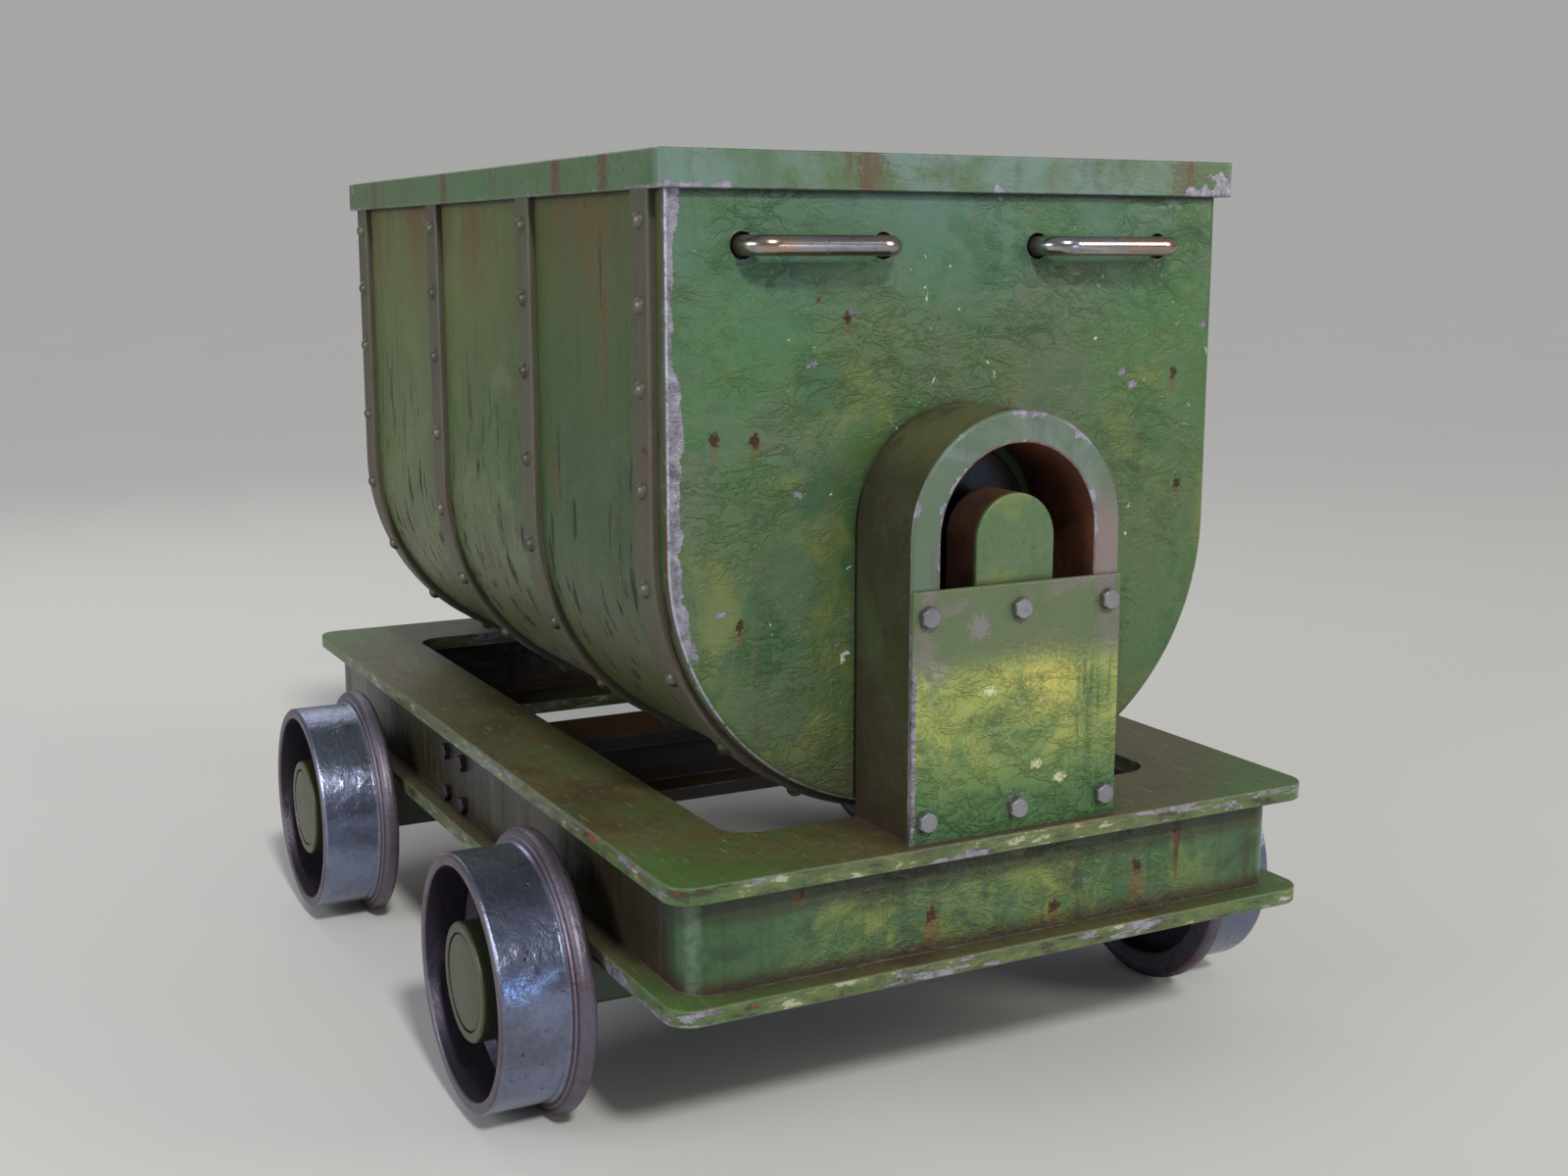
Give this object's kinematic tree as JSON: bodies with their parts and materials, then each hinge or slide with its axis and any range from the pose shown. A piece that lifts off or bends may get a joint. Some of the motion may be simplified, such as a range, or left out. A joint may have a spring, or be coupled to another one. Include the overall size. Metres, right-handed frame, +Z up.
{
  "type": "mine cart",
  "caption": "Side-tipping mine cart: a U-shaped riveted tub hung on trunnions between arched pedestals, on a flat frame with flanged rail wheels.",
  "frame": {"origin": "on the floor under the lowest points of the wheel flanges, at the middle of the frame's length and width", "axes": "+X along the track towards the front pedestal, +Y to the cart's left, +Z up"},
  "size_m": [1.66, 1.235, 1.2574],
  "materials": {
    "tub_paint": "weathered glossy green paint with chips and rust spots",
    "frame_paint": "weathered olive green paint, dusty and chipped",
    "hub_paint": "worn green paint",
    "rib_steel": "dull bare steel, stained brown",
    "rivet_steel": "dull bare steel",
    "wheel_iron": "pitted, polished by use",
    "handle_steel": "polished by hands, rusty at the ends",
    "bolt_steel": "zinc grey, dull",
    "dark_steel": "dark, oily",
    "bronze": "machined bronze",
    "seal_rubber": "black rubber"
  },
  "bodies": {
    "chassis": {"axle_beam_front": "frame_paint", "axle_beam_rear": "frame_paint", "axle_front": "dark_steel", "axle_nuts": "bolt_steel", "axle_rear": "dark_steel", "bearing_block_front": "frame_paint", "bearing_block_rear": "frame_paint", "cover_bolts_front": "bolt_steel", "cover_bolts_rear": "bolt_steel", "cover_plate_front": "frame_paint", "cover_plate_rear": "frame_paint", "cross_member": "frame_paint", "cross_member_bolts": "bolt_steel", "frame_bottom_plate": "frame_paint", "frame_top_plate": "frame_paint", "frame_web": "frame_paint", "pedestal_front": "frame_paint", "pedestal_rear": "frame_paint", "trunnion_bush_front": "bronze", "trunnion_bush_rear": "bronze"},
    "tub": {"tub_skin": "tub_paint", "tub_liner": "dark_steel", "rim": "tub_paint", "rivets": "rivet_steel", "handle_nuts": "bolt_steel", "rib_front": "rib_steel", "rib_mid_front": "rib_steel", "rib_mid_rear": "rib_steel", "rib_rear": "rib_steel", "end_plate_front": "tub_paint", "end_plate_rear": "tub_paint", "trunnion_front": "dark_steel", "trunnion_rear": "dark_steel", "handle_front_right": "handle_steel", "handle_front_left": "handle_steel", "handle_rear_right": "handle_steel", "handle_rear_left": "handle_steel"},
    "wheelset_front_right": {"wheel_front_right": "wheel_iron", "hub_front_right": "hub_paint", "wheel_bush_front_right": "bronze", "seal_front_right": "seal_rubber", "hub_cap_front_right": "hub_paint"},
    "wheelset_front_left": {"wheel_front_left": "wheel_iron", "hub_front_left": "hub_paint", "wheel_bush_front_left": "bronze", "seal_front_left": "seal_rubber", "hub_cap_front_left": "hub_paint"},
    "wheelset_rear_right": {"wheel_rear_right": "wheel_iron", "hub_rear_right": "hub_paint", "wheel_bush_rear_right": "bronze", "seal_rear_right": "seal_rubber", "hub_cap_rear_right": "hub_paint"},
    "wheelset_rear_left": {"wheel_rear_left": "wheel_iron", "hub_rear_left": "hub_paint", "wheel_bush_rear_left": "bronze", "seal_rear_left": "seal_rubber", "hub_cap_rear_left": "hub_paint"}
  },
  "joints": [
    {"name": "tub_tip", "type": "hinge", "parent": "chassis", "child": "tub", "pos_m": [0, 0, 0.794], "axis": [1, 0, 0], "range_deg": [-60, 60]},
    {"name": "roll_front_right", "type": "hinge", "parent": "chassis", "child": "wheelset_front_right", "pos_m": [0.441, -0.55, 0.192], "axis": [0, 1, 0], "continuous": true},
    {"name": "roll_front_left", "type": "hinge", "parent": "chassis", "child": "wheelset_front_left", "pos_m": [0.441, 0.55, 0.192], "axis": [0, 1, 0], "continuous": true},
    {"name": "roll_rear_right", "type": "hinge", "parent": "chassis", "child": "wheelset_rear_right", "pos_m": [-0.441, -0.55, 0.192], "axis": [0, 1, 0], "continuous": true},
    {"name": "roll_rear_left", "type": "hinge", "parent": "chassis", "child": "wheelset_rear_left", "pos_m": [-0.441, 0.55, 0.192], "axis": [0, 1, 0], "continuous": true}
  ]
}
